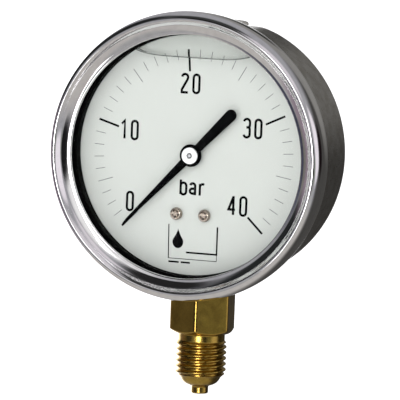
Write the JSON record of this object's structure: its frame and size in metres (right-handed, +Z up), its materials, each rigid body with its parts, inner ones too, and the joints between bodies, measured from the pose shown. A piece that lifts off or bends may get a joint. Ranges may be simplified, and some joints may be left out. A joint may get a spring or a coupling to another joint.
{
  "type": "pressure gauge",
  "caption": "Round liquid-filled pressure gauge with a bottom threaded connection, crimped steel bezel, white dial and black pointer.",
  "frame": {"origin": "on the connection thread's axis at the sealing shoulder under the hexagon", "axes": "+Z up from the thread to the dial, -Y out of the dial towards the reader, +X to the reader's right"},
  "size_m": [0.068, 0.03, 0.0915],
  "materials": {
    "polished_steel": "mirror-polished stainless sheet",
    "window_clear": "clear, smooth",
    "black_rubber": "satin black moulding",
    "dial_enamel": "matt pale enamel on aluminium",
    "plated_screw": "bright plated",
    "movement_brass": "stamped and turned brass",
    "spring_steel": "ground steel",
    "tube_bronze": "drawn bronze tube",
    "pointer_black": "matt black paint on aluminium",
    "stem_brass": "machined brass, slightly tarnished",
    "plug_rubber": "matt pale grey elastomer"
  },
  "bodies": {
    "root": {"case": "polished_steel", "bezel_ring": "polished_steel", "window": "window_clear", "window_gasket": "black_rubber", "dial": "dial_enamel", "dial_screw_1": "plated_screw", "dial_screw_2": "plated_screw", "dial_spacer_1": "movement_brass", "dial_spacer_2": "movement_brass", "movement_front_plate": "movement_brass", "movement_rear_plate": "movement_brass", "plate_pillar_1": "movement_brass", "plate_pillar_2": "movement_brass", "plate_pillar_3": "movement_brass", "plate_screw_1": "movement_brass", "plate_screw_2": "movement_brass", "plate_screw_3": "movement_brass", "carrier_screw_1": "plated_screw", "carrier_screw_2": "plated_screw", "bourdon_tube": "tube_bronze", "hairspring": "spring_steel", "hairspring_stud": "movement_brass", "socket": "stem_brass", "restrictor": "movement_brass", "stem_nut": "stem_brass", "stem_seal": "black_rubber"},
    "pointer": {"pointer": "pointer_black", "pointer_hub": "plated_screw", "pinion_arbor": "spring_steel", "hairspring_collet": "movement_brass"},
    "sector": {"sector_gear": "movement_brass", "sector_arbor": "spring_steel", "sector_link_screw": "plated_screw"},
    "link": {"link": "movement_brass"},
    "tube_tip": {"tube_end_piece": "movement_brass", "tip_pin": "spring_steel"},
    "fill_plug": {"fill_plug": "plug_rubber"}
  },
  "joints": [
    {"name": "pointer_spin", "type": "hinge", "parent": "root", "child": "pointer", "pos_m": [0, -0.0103, 0.043], "axis": [0, 1, 0], "range_deg": [0, 270], "deforming": ["hairspring"]},
    {"name": "sector_swing", "type": "hinge", "parent": "root", "child": "sector", "pos_m": [0.0075, -0.0103, 0.03001], "axis": [0, 1, 0], "range_deg": [-30, 0]},
    {"name": "link_swing", "type": "hinge", "parent": "sector", "child": "link", "pos_m": [0.01215, -0.0103, 0.02816], "axis": [0, 1, 0], "range_deg": [0, 33.42]},
    {"name": "tube_tip_flex", "type": "hinge", "parent": "root", "child": "tube_tip", "pos_m": [-0.0142, -0.0103, 0.0446], "axis": [0, 1, 0], "range_deg": [-4, 0], "deforming": ["bourdon_tube"]},
    {"name": "fill_plug_pull", "type": "slide", "parent": "root", "child": "fill_plug", "axis": [0, 0, 1], "range_m": [0, 0.008]}
  ],
  "couplings": [
    {"joint": "sector_swing", "follows": "pointer_spin", "ratio": -0.11111},
    {"joint": "link_swing", "follows": "pointer_spin", "ratio": 0.12378},
    {"joint": "tube_tip_flex", "follows": "pointer_spin", "ratio": -0.014815}
  ]
}
